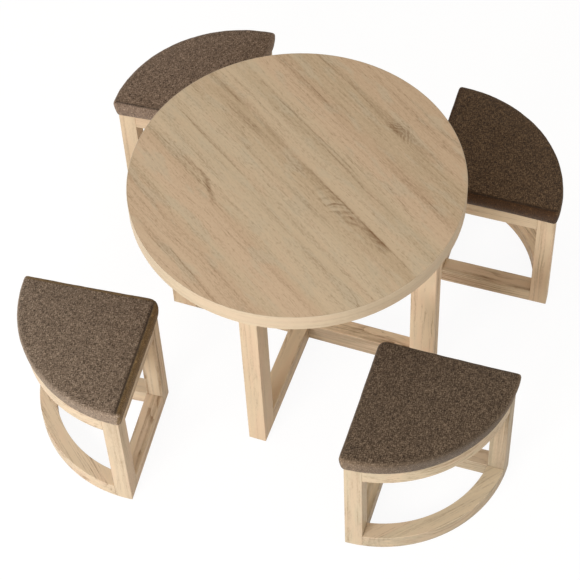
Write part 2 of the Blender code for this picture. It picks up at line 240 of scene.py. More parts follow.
class StudioSettings(bpy.types.PropertyGroup):
    """Light, floor and camera."""

    key_power: bpy.props.FloatProperty(
        name="Key light", description="Power of the large light in front", default=158.0, unit="POWER")
    side_power: bpy.props.FloatProperty(
        name="Side light", description="Power of the low light on the left", default=11.0, unit="POWER")
    sky: bpy.props.FloatProperty(
        name="Room light", description="Strength of the even light from all round", default=0.635)
    floor_shade: fraction("Floor shade", "Share of the floor's own shading that shows", 0.14)
    azimuth: degrees("Azimuth", "Camera's turn round the table", 21.919)
    elevation: degrees("Elevation", "Camera's angle above the floor", 53.763)
    roll: degrees("Roll", "Camera's turn about its own axis", -3.229)
    distance: metres("Distance", "From the camera to its target", 5.821)
    lens: bpy.props.FloatProperty(
        name="Lens", description="Focal length in millimetres", default=121.33)
    target: bpy.props.FloatVectorProperty(
        name="Target", description="Point that the camera looks at", subtype="TRANSLATION",
        default=(0.01418, -0.13485, 0.392))


class TableSetSettings(bpy.types.PropertyGroup):
    """All the settings of the table and its stools."""

    oak: bpy.props.PointerProperty(type=OakSettings)
    fabric: bpy.props.PointerProperty(type=FabricSettings)
    seat: bpy.props.PointerProperty(type=SeatSettings)
    studio: bpy.props.PointerProperty(type=StudioSettings)


class Wire:
    """The output of a node. Numbers among them take part in sums as plain numbers do."""

    def __init__(self, web, socket):
        self.web, self.socket = web, socket

    def __add__(self, other):
        return self.web.math("ADD", self, other)

    def __sub__(self, other):
        return self.web.math("SUBTRACT", self, other)

    def __rsub__(self, other):
        return self.web.math("SUBTRACT", other, self)

    def __mul__(self, other):
        return self.web.math("MULTIPLY", self, other)

    def __truediv__(self, other):
        return self.web.math("DIVIDE", self, other)

    def __rtruediv__(self, other):
        return self.web.math("DIVIDE", other, self)

    __radd__ = __add__
    __rmul__ = __mul__


class Web:
    """The nodes of one new material, around its Principled shader, or those of the world."""

    def __init__(self, name, world=None):
        self.material = world or bpy.data.materials.new(name)
        self.material.use_nodes = True
        self.tree = self.material.node_tree
        self.shader = self.tree.nodes.get("Principled BSDF")

    def node(self, kind, settings=None, inputs=None, output=0):
        """Adds a node, with its settings first and then the values or wires of its sockets, and gives one output."""
        made = self.tree.nodes.new(kind)
        for name, value in (settings or {}).items():
            if name == "stops":
                self.set_stops(made.color_ramp, value)
            else:
                setattr(made, name, value)
        for key, value in (inputs or {}).items():
            self.feed(made.inputs[key], value)
        return Wire(self, made.outputs[output])

    def set_stops(self, ramp, stops):
        ramp.interpolation = "EASE"
        while len(ramp.elements) < len(stops):
            ramp.elements.new(1.0)
        for element, (position, colour) in zip(ramp.elements, stops):
            element.position = position
            element.color = colour

    def feed(self, socket, value):
        if isinstance(value, Wire):
            self.tree.links.new(value.socket, socket)
        else:
            socket.default_value = value

    def finish(self, values):
        """Feeds the named sockets of the shader and gives the material."""
        for name, value in values.items():
            self.feed(self.shader.inputs[name], value)
        return self.material

    def math(self, operation, *values):
        return self.node("ShaderNodeMath", {"operation": operation}, dict(enumerate(values)))

    def clamped(self, value):
        return self.node("ShaderNodeClamp", None, {"Value": value})

    def step(self, value, low, high):
        """A smooth step from 0 at low to 1 at high."""
        inputs = {"Value": value, "From Min": low, "From Max": high}
        return self.node("ShaderNodeMapRange", {"interpolation_type": "SMOOTHSTEP"}, inputs)

    def fall(self, value, low, high):
        """A smooth step from 1 at low to 0 at high."""
        return 1.0 - self.step(value, low, high)

    def bell(self, value, width):
        """1 where the value is 0, falling smoothly to 0 at the width on both sides."""
        return self.fall(self.math("ABSOLUTE", value), 0.0, width)

    def stretch(self, value, start, end, outside, inside):
        """1 from start to end, with soft ends that reach a little outside and inside of them."""
        return self.step(value, start - outside, start + inside) * self.fall(value, end - inside, end + outside)

    def vector(self, x, y, z):
        return self.node("ShaderNodeCombineXYZ", None, {"X": x, "Y": y, "Z": z})

    def parts(self, vector):
        """The three numbers of a vector."""
        split = self.node("ShaderNodeSeparateXYZ", None, {"Vector": vector}).socket.node
        return [Wire(self, output) for output in split.outputs]

    def noise(self, x, y, z, detail=2.0):
        """Noise of about one cell per unit, from 0 to 1 and centred on a half."""
        inputs = {"Vector": self.vector(x, y, z), "Scale": 1.0, "Detail": detail, "Roughness": 0.5}
        return self.node("ShaderNodeTexNoise", {"noise_dimensions": "3D"}, inputs)

    def mix(self, factor, first, second, blend="MIX"):
        """A colour between two others."""
        settings = {"data_type": "RGBA", "blend_type": blend, "clamp_factor": True}
        return self.node("ShaderNodeMix", settings, {0: factor, 6: first, 7: second}, output=2)

    def bump(self, height, distance, strength):
        inputs = {"Height": height, "Distance": distance, "Strength": strength}
        return self.node("ShaderNodeBump", None, inputs)

    def place(self, matrix):
        """The point in a frame of its own, from the piece's own coordinates."""
        inverse = matrix.inverted()
        inputs = {
            "Vector": self.node("ShaderNodeTexCoord", output=3),
            "Location": inverse.to_translation(),
            "Rotation": inverse.to_euler(),
        }
        return self.parts(self.node("ShaderNodeMapping", {"vector_type": "POINT"}, inputs))


def opaque(colour):
    return (*colour, 1.0)


def toned(colour, tones):
    """An opaque colour, its red, green and blue each multiplied by a tone."""
    return opaque([c * t for c, t in zip(colour, tones)])


def oak_settings():
    return bpy.context.scene.table_set.oak


def grain(web, along, across, depth, seed, figure=1.0, fleck=0.4):
    """How dark the wood's rings, streaks and pores are at a point, and how high its surface stands."""
    oak = oak_settings()
    dice = random.Random(seed)
    shift = dice.uniform(1.0, 60.0)
    pith_across = dice.uniform(-0.03, 0.03)
    pith_depth = dice.uniform(0.03, 0.075)
    lean = dice.uniform(-0.08, 0.08)

    def streaks(length, width, detail=1.0, start=0.0):
        """Noise drawn out along the grain, around zero."""
        return web.noise((along + shift + start) / length, across / width, depth / width, detail) - 0.5

    sideways = across + pith_across + streaks(0.3, 0.09) * 0.045 + along * lean
    inwards = depth + pith_depth + streaks(0.6, 0.15, start=9.0) * 0.07
    inwards = inwards + streaks(0.15, 0.11, start=21.0) * (0.045 * max(0.0, figure - 1.0))
    knot = web.node("ShaderNodeTexVoronoi", {"feature": "F1"}, {
        "Vector": web.vector((along + shift) / 0.34, across / 0.12, depth / 0.12), "Scale": 1.0})
    bulge = web.fall(knot, 0.02, 0.3) * web.step(figure, 0.5, 1.0)
    radius = web.math("SQRT", sideways * sideways + inwards * inwards) + bulge * 0.014
    phase = web.math("FRACT", radius / oak.ring + streaks(0.12, 0.016) * 0.8)
    early = web.fall(phase, 0.0, 0.6)
    shown = web.step(streaks(0.45, 0.05, start=3.0), -0.12, 0.1)
    pores = web.step(streaks(0.026, 0.0022), 0.06, 0.18) * (0.25 + early * 0.75)
    dashes = web.step(streaks(0.045, 0.005, 2.0), 0.08, 0.22)

    dark = early * shown * (0.26 * figure + 0.02) + pores * (0.08 + shown * 0.24) + dashes * 0.1
    dark = dark + streaks(0.34, 0.034) * (0.9 * figure) + streaks(0.6, 0.013, 1.5) * (0.5 + 0.8 * figure)
    dark = dark + streaks(0.26, 0.0044) * (0.3 + shown * 0.7) * (0.45 + 0.35 * figure) + streaks(0.014, 0.0042) * fleck
    dark = dark + streaks(0.0075, 0.0034, start=5.0) * (fleck * 0.6)
    dark = dark + bulge * bulge * 0.2 - 0.08
    height = 0.0 - pores * 0.8 - dashes * 0.5
    return dark, height


def tinted(web, along, across, depth, seed):
    """The slow change of tint through a board of the frame, which is a little paler than the tabletop, with painted
    light and shade in its listed lightness and, on some low rails, a painted lighter top and darker sides.
    """
    oak = oak_settings()
    dice = random.Random(seed)
    shift = dice.uniform(1.0, 60.0)
    # The board's own tone, times its listed lightness, which is partly painted light and shade
    shade = dice.uniform(0.97, 1.03) * BOARD_LOOKS_AND_SHADE.get(seed, ANY_BOARD)[0]
    lifts = next((lift for group, lift in FRAME_LIFTS.items() if seed.startswith(group)), FRAME_LIFT)
    plain = opaque([shade * c * lift for c, lift in zip(oak.plain, lifts)])
    rosy = opaque([shade * c * lift * WARM_PATCHES for c, lift in zip(oak.rosy, lifts)])
    warm = web.noise(along * 4.0 + shift, across * 24.0, depth * 24.0, 1.0)
    cool = web.noise(along * 6.0, across * 30.0 + shift, depth * 30.0 + 5.0, 1.0)
    colour = web.mix(web.step(warm, 0.42, 0.6), plain, rosy)
    colour = web.mix(web.step(cool, 0.48, 0.66), colour, toned(plain, [COOL_PATCHES] * 3))
    # Painted light and shade: the upper face of these rails is made lighter and their sides darker
    if seed not in PAINTED_TOP_LIGHT_SIDE_SHADE:
        return colour
    upper, sides = PAINTED_TOP_LIGHT_SIDE_SHADE[seed]
    facing = web.parts(web.node("ShaderNodeNewGeometry", output=1))[2]
    lightness = web.mix(web.step(facing, 0.4, 0.8), opaque([sides] * 3), opaque([upper] * 3))
    return web.mix(1.0, colour, lightness, "MULTIPLY")


def finish_wood(web, colour, dark, height):
    """Puts the grain over the tint and sets the lacquer."""
    oak = oak_settings()
    streaked = web.mix(web.clamped(dark), colour, opaque(oak.deep))
    pale_streaks = web.clamped(0.0 - dark)
    paler = opaque([min(1.0, c * PALE_STREAKS) for c in oak.plain])
    return web.finish({
        "Base Color": web.mix(pale_streaks * 0.9, streaked, paler),
        "Roughness": oak.roughness + web.clamped(dark) * 0.25,
        "Specular IOR Level": oak.shine,
        "Normal": web.bump(height, oak.relief, 0.6)})


def board_material(name, matrix, axis):
    """Oak for a straight piece, its grain along one axis of the frame it lies in."""
    web = Web(name)
    x, y, z = web.place(matrix)
    along, across, depth = {"X": (x, y, z), "Y": (y, x, z), "Z": (z, x, y)}[axis]
    dark, height = grain(web, along, across, depth, name, BOARD_LOOKS_AND_SHADE.get(name, ANY_BOARD)[1])
    return finish_wood(web, tinted(web, along, across, depth, name), dark, height)


def wear(node, material):
    """Gives a solid of the frame its finish."""
    piece = NODES[node]
    piece.data.materials.clear()
    piece.data.materials.append(material)


def flame(web, along, across):
    """Slanting dark strokes of grain that hang from a sharp line near the middle and run together at the right."""
    u = along - 0.235
    v = across - 0.05
    down_stroke = (u * 0.8 + v * 0.6) / 0.15
    over_strokes = (v * 0.8 - u * 0.6) / 0.015
    bend = web.noise(along * 13.0, across * 20.0, 14.0, 1.0) - 0.5
    strokes = web.step(web.noise(down_stroke, over_strokes + u * u * 120.0 + bend * 3.0, 2.0, 3.0), 0.34, 0.74)
    ragged = web.noise(along * 24.0, across * 60.0, 7.0) - 0.5
    solid = web.step(u, -0.03, 0.06) * web.step(v + ragged * 0.02, -0.026, -0.006)
    within = web.step(u, -0.22, -0.07) * web.fall(u, 0.1, 0.16)
    hanging = web.step(v + ragged * 0.03 - u * 0.08, -0.056, -0.012) * web.fall(v, -0.003, 0.003)
    uneven = web.step(web.noise(along * 16.0, across * 34.0, 11.0, 1.0), 0.4, 0.62)
    return (strokes * (0.7 + uneven * 0.9) + solid * 0.6) * within * hanging


def eye(web, along, across):
    """Nested dark arches over a dark base, in a short run of dark grain."""
    u = along - 0.048
    v = across - 0.33
    ragged = web.noise(along * 34.0, across * 50.0, 5.0) - 0.5
    arch = v + web.math("SQRT", u * u + 0.0001) * 0.95
    phase = web.math("FRACT", arch / 0.013 + ragged * 1.8)
    lines = web.step(phase, 0.1, 0.5) * web.fall(phase, 0.72, 1.0) * (0.75 + ragged * 1.6)
    within = web.fall(arch + ragged * 0.02, 0.04, 0.08) * web.step(v, -0.005, 0.003)
    foot = web.fall(v + ragged * 0.02, 0.0, 0.022) * web.bell(u + 0.014, 0.064)
    tail = web.bell(v - 0.006 + ragged * 0.014, 0.01) * web.bell(u + 0.09, 0.09)
    return (lines * 0.75 + foot) * within + tail * 0.4


def swirl(web, along, across):
    """A dark stroke where the grain dips from one line down to the next, with a leaf of fine lines beside it."""
    ripple = web.noise(along * 22.0, across * 50.0, 8.0) - 0.5
    u = along + 0.13
    dip = across + 0.218 + web.step(u, -0.075, 0.075) * 0.04 - 0.02 + ripple * 0.01
    stroke = web.bell(dip, 0.013) * web.bell(u, 0.1)
    tail = web.bell(across + 0.24 + ripple * 0.012, 0.006) * web.bell(along - 0.08, 0.2)
    leaf_u = along + 0.225
    leaf_v = across + 0.224 + leaf_u * 0.1
    rings = web.math("SQRT", leaf_u * leaf_u * 0.05 + leaf_v * leaf_v)
    leaf = web.step(web.math("FRACT", rings / 0.0075 + ripple * 1.5), 0.35, 0.85) * web.fall(rings, 0.012, 0.024)
    return stroke * 1.3 + tail * 0.22 + leaf * 0.34


def tabletop_material():
    """Staves of oak side by side, with dark lines, a flame, an eye and a swirl in their grain."""
    oak = oak_settings()
    web = Web("oak_board")
    along, across, depth = web.place(Matrix.Rotation(TOP_GRAIN_TURN, 4, "Z"))
    wave = web.noise(along * 2.8, across * 7.0, 4.0) - 0.5
    fine = web.noise(along * 6.0, across * 40.0, 6.0) - 0.5
    warped = across + wave * 0.018 + fine * 0.006
    tints = {"plain": oak.plain, "rosy": oak.rosy, "cool": oak.cool}
    stops = []
    for middle, tint, shade in TOP_STAVES:
        toned = [shade ** power * c for c, power in zip(tints[tint], SHADE_POWERS)]
        stops.append(((middle / TOP_RADIUS + 1.0) / 2.0, opaque(toned)))
    colour = web.node("ShaderNodeValToRGB", {"stops": stops}, {"Fac": (warped / TOP_RADIUS + 1.0) / 2.0})
    blush = web.noise(along * 7.0 + 3.0, across * 26.0, 8.0)
    colour = web.mix(web.step(blush, 0.5, 0.68) * 0.45, colour, opaque(oak.rosy))
    moss = web.noise(along * 8.0 + 11.0, across * 26.0, 13.0)
    colour = web.mix(web.step(moss, 0.5, 0.66) * 0.55, colour, opaque(oak.moss))

    dark, height = grain(web, along, warped, depth, "oak_board", 0.35, 0.85)
    crisp = web.fall(web.math("FRACT", warped / 0.037 + wave * 1.5), 0.0, 0.55)
    zone = web.step(web.noise(along * 2.6 + 4.0, across * 10.0, 9.0), 0.44, 0.6)
    dark = dark + crisp * zone * 0.13
    smudges = 0.0
    for middle, start, end, half_width, depth_of_tone in TOP_SMUDGES:
        reach = web.stretch(along, start, end, 0.06, 0.06)
        smudges = smudges + web.bell(warped - middle, half_width * 1.5) * reach * depth_of_tone
    broken = web.step(web.noise(along * 8.0, across * 190.0, 3.0), 0.36, 0.62)
    dark = dark + smudges * (0.35 + broken * 0.95)
    for middle, start, end, wander in TOP_LINES:
        waver = web.noise(along * 6.0, middle * 90.0, 0.0)
        line = web.bell(across - middle + (waver - 0.5) * (wander * 4.0), 0.0036)
        reach = web.stretch(along, start, end, 0.03, 0.05)
        dark = dark + line * reach * web.step(waver, 0.28, 0.58) * 0.4
    for figure, weight in ((flame, 0.7), (eye, 0.62), (swirl, 0.46)):
        dark = dark + figure(web, along, across) * weight
    return finish_wood(web, colour, dark, height)


def band_material():
    """Pale oak edge band, its fine grain running round the edge."""
    oak = oak_settings()
    web = Web("oak_edge_band")
    x, y, z = web.place(Matrix.Identity(4))
    along = web.math("ARCTAN2", y, x) * TOP_RADIUS
    across = z - TABLE_HEIGHT
    dark, height = grain(web, along, across, across * 0.4, "oak_edge_band", 0.5)
    soft = tinted(web, along, across, across * 0.4, "oak_edge_band")
    colour = web.mix(0.45, soft, toned(oak.plain, BAND_LIFT))
    return finish_wood(web, colour, dark * 0.6, height)


def plywood_material():
    """Raw birch plywood, with its layers on the edge."""
    web = Web("plywood")
    x, y, z = web.place(Matrix.Identity(4))
    layers = web.step(web.math("FRACT", z / VENEER), 0.4, 0.6)
    flow = web.noise(x * 6.0, y * 45.0, 0.0, 3.0) - 0.5
    colour = web.mix(web.clamped(0.5 + flow * 1.4), opaque(BIRCH_PALE), opaque(BIRCH_DARK))
    colour = web.mix(layers * 0.25, colour, opaque(BIRCH_EDGE))
    return web.finish({"Base Color": colour, "Roughness": 0.75, "Normal": web.bump(flow, 0.0003, 0.5)})


def steel_material(name, colour, roughness):
    """Zinc-plated steel with a fine, slightly cloudy surface."""
    web = Web(name)
    x, y, z = web.place(Matrix.Identity(4))
    cloud = web.noise(x * 90.0, y * 90.0, z * 90.0, 3.0)
    clouded = web.mix(cloud, toned(colour, [0.85] * 3), opaque(colour))
    return web.finish({"Base Color": clouded, "Metallic": 1.0, "Roughness": roughness + cloud * 0.15})


def fabric_material(name, look, place):
    """A plain weave of melange yarn, laid over the seat by its own map, in metres, with painted light and shade on its
    bands and painted shade in its seam.
    """
    cloth = bpy.context.scene.table_set.fabric
    web = Web(name)
    u, v, _ = web.parts(web.node("ShaderNodeUVMap", {"uv_map": "weave"}))
    band, side, seam = (
        web.node("ShaderNodeAttribute", {"attribute_name": part}, output=2) for part in ("band", "side", "seam"))
    slub = web.noise(u * 160.0, v * 160.0, 0.0) - 0.5
    warp = u / cloth.pitch + slub * 0.35
    weft = v / cloth.pitch + slub * 0.35
    warp_number = web.math("FLOOR", warp)
    weft_number = web.math("FLOOR", weft)
    over = web.math("FLOORED_MODULO", warp_number + weft_number, 2.0)
    warp_round, weft_round = (
        1.0 - web.math("ABSOLUTE", web.math("FRACT", yarn) * 2.0 - 1.0) for yarn in (warp, weft))
    ridge = over * warp_round + (1.0 - over) * weft_round

    crossing = {"Vector": web.vector(warp_number, weft_number, 0.0)}
    stitch = web.node("ShaderNodeTexWhiteNoise", {"noise_dimensions": "3D"}, crossing)
    across_dash = web.noise(u / FLECK_LENGTH, v / FLECK_WIDTH, 1.0, 1.0) - 0.5
    along_dash = web.noise(u / FLECK_WIDTH, v / FLECK_LENGTH, 2.0, 1.0) - 0.5
    picked = over * across_dash + (1.0 - over) * along_dash
    cloudy = web.noise(u * 30.0, v * 30.0, 3.0, 3.0) - 0.5
    shade = (across_dash + along_dash) * 0.78 + picked * 0.56 + (stitch - 0.5) * 0.36 + cloudy * 0.28
    shade = shade * (1.0 - web.math("MAXIMUM", band, side) * 0.35) + 0.5

    middle, dark = toned(cloth.middle, look["tones"]), toned(cloth.dark, look["tones"])
    light = toned(cloth.light, [t ** 0.7 for t in look["tones"]])
    colour = web.mix(web.step(shade, 0.14, 0.5), dark, middle)
    colour = web.mix(web.step(shade, 0.5, 0.88), colour, light)
    colour = web.mix(web.fall(ridge, 0.0, 0.45) * 0.5, colour, dark)
    x, y, _ = web.place(place)
    bearing = web.math("ARCTAN2", y, x) * (2.0 / QUARTER_TURN) - 1.0
    # Painted light and shade: the band round the arc is lightened, more at its ends than its middle, and the straight
    # sides are made lighter or darker seat by seat
    ends, middle_of_arc = (toned(PAINTED_ARC_LIGHT_TINT, [tone] * 3) for tone in look["arc"])
    painted_arc_light = web.mix(1.0, colour, web.mix(bearing * bearing, middle_of_arc, ends), "MULTIPLY")
    sided = web.mix(1.0, colour, opaque(look["side"]), "MULTIPLY")
    colour = web.mix(band, web.mix(side, colour, sided), painted_arc_light)
    # Painted shade: the seam's crease is darkened towards the dark yarn
    return web.finish({
        "Base Color": web.mix(seam * 0.85, colour, toned(dark, [0.6] * 3)),
        "Roughness": cloth.roughness, "Sheen Weight": cloth.sheen, "Sheen Roughness": 0.5, "Specular IOR Level": 0.2,
        "Normal": web.bump(ridge + stitch * 0.4, cloth.relief, 0.5)})


def stool_place(name):
    """A stool's own frame: its corner on the floor, its straight sides along +X and +Y, from its corner post."""
    post = NODES[f"stool_{name}_inner_post"].data
    upright = [face for face in post.polygons if abs(face.normal.z) < 0.1]
    widest = max(face.area for face in upright)
    angles = [math.atan2(face.normal.y, face.normal.x) for face in upright if face.area > widest / 2]
    turns = [(angle + QUARTER_TURN / 2) % QUARTER_TURN - QUARTER_TURN / 2 for angle in angles]
    turn = Matrix.Rotation(STOOLS.index(name) * QUARTER_TURN + sum(turns) / len(turns), 4, "Z")
    local = [turn.inverted() @ vertex.co for vertex in post.vertices]
    corner = Vector((min(p.x for p in local), min(p.y for p in local), 0.0))
    return Matrix.Translation(turn @ corner) @ turn


def plain_measures(name, place):
    """The plain cushion's straight sides, the reach of its arc, and its lowest and highest points, in its own frame."""
    inverse = place.inverted()
    local = [inverse @ vertex.co for vertex in NODES[f"stool_{name}_cushion"].data.vertices]
    side = min(min(p.x, p.y) for p in local)
    reach = max(math.hypot(p.x, p.y) for p in local)
    return side, reach, min(p.z for p in local), max(p.z for p in local)


def pad_block(side, reach, low, high, corner_radius, seat):
    """A quarter-round block with rounded corners and crisp rounded edges."""
    bm = bmesh.new()
    tip_turn = math.asin(side / reach)
    tip = bm.verts.new((reach * math.cos(tip_turn), side, low))
    sweep = QUARTER_TURN - 2 * tip_turn
    bmesh.ops.spin(bm, geom=[tip], cent=(0, 0, 0), axis=(0, 0, 1), angle=sweep, steps=36)
    ends = [vertex for vertex in bm.verts if len(vertex.link_edges) == 1]
    corner = bm.verts.new((side, side, low))
    for end in ends:
        bm.edges.new((corner, end))
    bmesh.ops.contextual_create(bm, geom=bm.edges)
    round_off = {"segments": 5, "profile": 0.5, "affect": "VERTICES", "material": -1}
    bmesh.ops.bevel(bm, geom=[corner], offset=corner_radius, **round_off)
    bmesh.ops.bevel(bm, geom=ends, offset=seat.end_radius, **round_off)
    upper = bmesh.ops.extrude_face_region(bm, geom=bm.faces)["geom"]
    upper = [item for item in upper if isinstance(item, bmesh.types.BMVert)]
    bmesh.ops.translate(bm, verts=upper, vec=(0, 0, high - low))
    bmesh.ops.recalc_face_normals(bm, faces=bm.faces)
    for height, offset in ((high, seat.edge_radius), (low, seat.edge_radius * 0.6)):
        rim = [edge for edge in bm.edges if all(abs(vertex.co.z - height) < WELD for vertex in edge.verts)]
        bmesh.ops.bevel(bm, geom=rim, offset=offset, segments=3, profile=0.5, affect="EDGES", material=-1)
    return bm


def placed(name, data):
    """A new object of the scene, at the origin."""
    obj = bpy.data.objects.new(name, data)
    bpy.context.scene.collection.objects.link(obj)
    return obj


def as_object(name, bm):
    mesh = bpy.data.meshes.new(name)
    bm.to_mesh(mesh)
    bm.free()
    return placed(name, mesh)


def bake_modifiers(obj):
    """Makes what the modifiers show the object's own mesh."""
    graph = bpy.context.evaluated_depsgraph_get()
    mesh = bpy.data.meshes.new_from_object(obj.evaluated_get(graph))
    obj.modifiers.clear()
    obj.data = mesh


def unit(values):
    """The values, kept from 0 to 1."""
    return np.clip(values, 0.0, 1.0)


def rows_of(items, name, width=3, kind=np.float32):
    """One property of all the vertices, corners or faces of a mesh, a row for each."""
    values = np.empty(len(items) * width, kind)
    items.foreach_get(name, values)
    return values.reshape(-1, width)


def points_of(obj):
    return rows_of(obj.data.vertices, "co")


def move(obj, points):
    """Gives the object's points new places."""
    obj.data.vertices.foreach_set("co", points.astype(np.float32).ravel())


def from_edge(points, side, reach):
    """How far inside the cushion's outline each point is, in plan."""
    radius = np.hypot(points[:, 0], points[:, 1])
    return np.minimum(np.minimum(points[:, 0] - side, points[:, 1] - side), reach - radius)


def shape_pad(obj, side, reach, low, high, seat):
    """Crowns the top of the block, runs its sides in downwards and draws them in between their corners."""
    points = points_of(obj)
    down = unit((high - points[:, 2]) / (high - low))
    middle = reach * 0.42
    spread = np.hypot(points[:, 0] - middle, points[:, 1] - middle)
    points[:, :2] -= (points[:, :2] - middle) * (seat.taper * down ** 2 / np.maximum(spread, 0.1))[:, None]
    inside = from_edge(points, side, reach)
    rise = 1.0 - (1.0 - unit(inside / 0.14)) ** 2
    points[:, 2] += rise * seat.crown * (points[:, 2] > high - seat.edge_radius)
    for along, across in ((0, 1), (1, 0)):
        span = unit((points[:, along] - side) / (reach - side))
        near = unit(1.0 - (points[:, across] - side) / 0.06)
        points[:, across] += np.sin(span * math.pi) * near * seat.draw_in
        points[:, across] -= np.sin(span ** 0.7 * math.pi) * np.sin(down * math.pi) * near * seat.bulge
    move(obj, points)


def swell(obj, side, reach, high, seat):
    """Lets the foam press on its cover, which is held underneath and at its top seam, and limits how far it moves."""
    rest = points_of(obj)
    inside = from_edge(rest, side, reach)
    lowest = rest[:, 2] < rest[:, 2].min() + seat.voxel
    seam = (np.abs(rest[:, 2] - high) < seat.voxel) & (inside < seat.edge_radius + seat.voxel)
    held = obj.vertex_groups.new(name="held")
    held.add([int(i) for i in np.nonzero(lowest | seam)[0]], 1.0, "REPLACE")
    cloth = obj.modifiers.new("cloth", "CLOTH")
    fabric, cache, scene = cloth.settings, cloth.point_cache, bpy.context.scene
    fabric.quality = 5
    fabric.mass = 0.3
    fabric.use_pressure = True
    fabric.uniform_pressure_force = seat.pressure
    fabric.effector_weights.gravity = 0.0
    fabric.vertex_group_mass = "held"
    cache.frame_start, cache.frame_end = 1, seat.steps
    for number in range(1, seat.steps + 1):
        scene.frame_set(number)
    bake_modifiers(obj)
    moved = points_of(obj) - rest
    limit = seat.side_swell + (seat.swell - seat.side_swell) * unit(inside / 0.05)
    scale = np.minimum(1.0, limit[:, None] / np.maximum(np.linalg.norm(moved, axis=1, keepdims=True), WELD))
    move(obj, rest + moved * scale)
    scene.frame_set(1)


def roughen(obj, seat, seed):
    """Small soft hollows all over the cover, as hand-stretched fabric has."""
    points = points_of(obj)
    offset = Vector((seed * 7.0, seed * 3.0, 0.0))
    depth = [noise.noise(Vector(p) * 24.0 + offset) + 0.5 * noise.noise(Vector(p) * 60.0 + offset) for p in points]
    free = unit((points[:, 2] - points[:, 2].min()) / 0.01)
    points += rows_of(obj.data.vertices, "normal") * (np.array(depth) * free * seat.unevenness)[:, None]
    move(obj, points)


# The pocket under a seat: how far in it starts, the width of its slope, how thick a layer of the cover is lifted, and
# how far past the seat board
POCKET_INSET = 0.0135
POCKET_SLOPE = 0.006
POCKET_LAYER = 0.004
POCKET_ROOM = 0.0008


def hollow(obj, side, reach, low, board_thickness):
    """Lifts the middle of the underside over the seat board, which stays open to view from below."""
    points = points_of(obj)
    lift = unit((from_edge(points, side, reach) - POCKET_INSET) / POCKET_SLOPE)
    lift = lift * lift * (3.0 - 2.0 * lift) * (points[:, 2] < low + POCKET_LAYER)
    points[:, 2] += lift * (board_thickness + POCKET_ROOM)
    move(obj, points)


def sew(obj, side, reach, low, high, look, seat):
    """Sinks the seam that joins the top to the sides, and marks it and the sides for the cover's colours: painted shade
    in the seam and painted light and shade on the bands.
    """
    points = points_of(obj)
    normals = rows_of(obj.data.vertices, "normal")
    inset = look["inset"]
    on_y, on_x, on_arc = look["creases"]
    to_arc = reach - np.hypot(points[:, 0], points[:, 1]) - seat.seam_inset
    to_straight = np.minimum(points[:, 0], points[:, 1]) - side - inset
    by_arc = to_arc < to_straight
    first = unit(0.5 + (points[:, 1] - points[:, 0]) / 0.04)
    crease = np.where(by_arc, on_arc, on_y * first + on_x * (1.0 - first))
    top = unit((points[:, 2] - high + seat.edge_radius) / 0.002 + 0.5)
    past = np.where(by_arc, to_arc, to_straight)
    seam = np.exp(-(past / np.where(by_arc, 0.0018, 0.0036)) ** 2) * top * crease
    height = unit((points[:, 2] - low) / (high - low))
    fall = unit(-to_straight / inset) ** 2 * height * crease * seat.roll_off
    points -= normals * (seam * seat.seam_depth)[:, None]
    points[:, 2] -= fall
    arc_band = unit(0.5 - to_arc / 0.012)
    straight_band = unit(0.5 - to_straight / 0.005)
    straight_face = (to_straight < inset * -0.2) & (to_arc > seat.seam_inset * -0.8)
    band = np.where(straight_face, arc_band * top, arc_band)
    move(obj, points)
    for name, values in (("seam", seam), ("band", band), ("side", straight_band)):
        obj.data.attributes.new(name, "FLOAT", "POINT").data.foreach_set("value", values.astype(np.float32))


def lay_weave(obj, side_top):
    """Maps the cover in metres: the top by its plan, and each side on from the edge that it is folded over."""
    mesh = obj.data
    corners = rows_of(mesh.loops, "vertex_index", 1, np.int32)[:, 0]
    sizes = rows_of(mesh.polygons, "loop_total", 1, np.int32)[:, 0]
    normal = np.repeat(rows_of(mesh.polygons, "normal"), sizes, axis=0)
    point = points_of(obj)[corners]
    radial = point[:, :2] / np.maximum(np.linalg.norm(point[:, :2], axis=1, keepdims=True), WELD)
    ways = np.stack([radial, np.tile((-1.0, 0.0), (len(point), 1)), np.tile((0.0, -1.0), (len(point), 1))])
    facing = np.einsum("kij,ij->ki", ways, normal[:, :2])
    chosen = ways[facing.argmax(axis=0), np.arange(len(point))]
    drop = np.maximum(side_top - point[:, 2], 0.0)[:, None] * (np.abs(normal[:, 2:]) < 0.95)
    weave = mesh.uv_layers.new(name="weave")
    weave.data.foreach_set("uv", (point[:, :2] + chosen * drop).astype(np.float32).ravel())


def make_cushion(name, number, look):
    """One padded seat, simulated in its stool's frame and then put in its place."""
    seat = bpy.context.scene.table_set.seat
    place = stool_place(name)
    side, reach, low, top = plain_measures(name, place)
    side -= seat.fuller
    reach += seat.fuller
    high = top + seat.fuller - seat.crown
    obj = as_object(f"seat_{name}", pad_block(side, reach, low, high, look["corner"], seat))
    remesh = obj.modifiers.new("cells", "REMESH")
    remesh.mode = "VOXEL"
    remesh.voxel_size = seat.voxel
    bake_modifiers(obj)
    shape_pad(obj, side, reach, low, high, seat)
    swell(obj, side, reach, high, seat)
    roughen(obj, seat, number + 1)
    subdivision = obj.modifiers.new("smooth", "SUBSURF")
    subdivision.levels = 1
    subdivision.render_levels = 1
    bake_modifiers(obj)
    obj.data.shade_smooth()
    board_low, board_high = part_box(f"stool_{name}_seat_board")
    hollow(obj, side, reach, low, board_high.z - board_low.z)
    sew(obj, side, reach, low, high, look, seat)
    lay_weave(obj, high)
    obj.data.transform(place)
    return obj


# The round-headed screws of the steel angles
SCREW_RADIUS = 0.0042
SCREW_HEIGHT = 0.0026
SOCKET_RADIUS = 0.0017
SOCKET_DEPTH = 0.0014
SCREW_FROM_CORNER = 0.019
SHEET = 0.0025


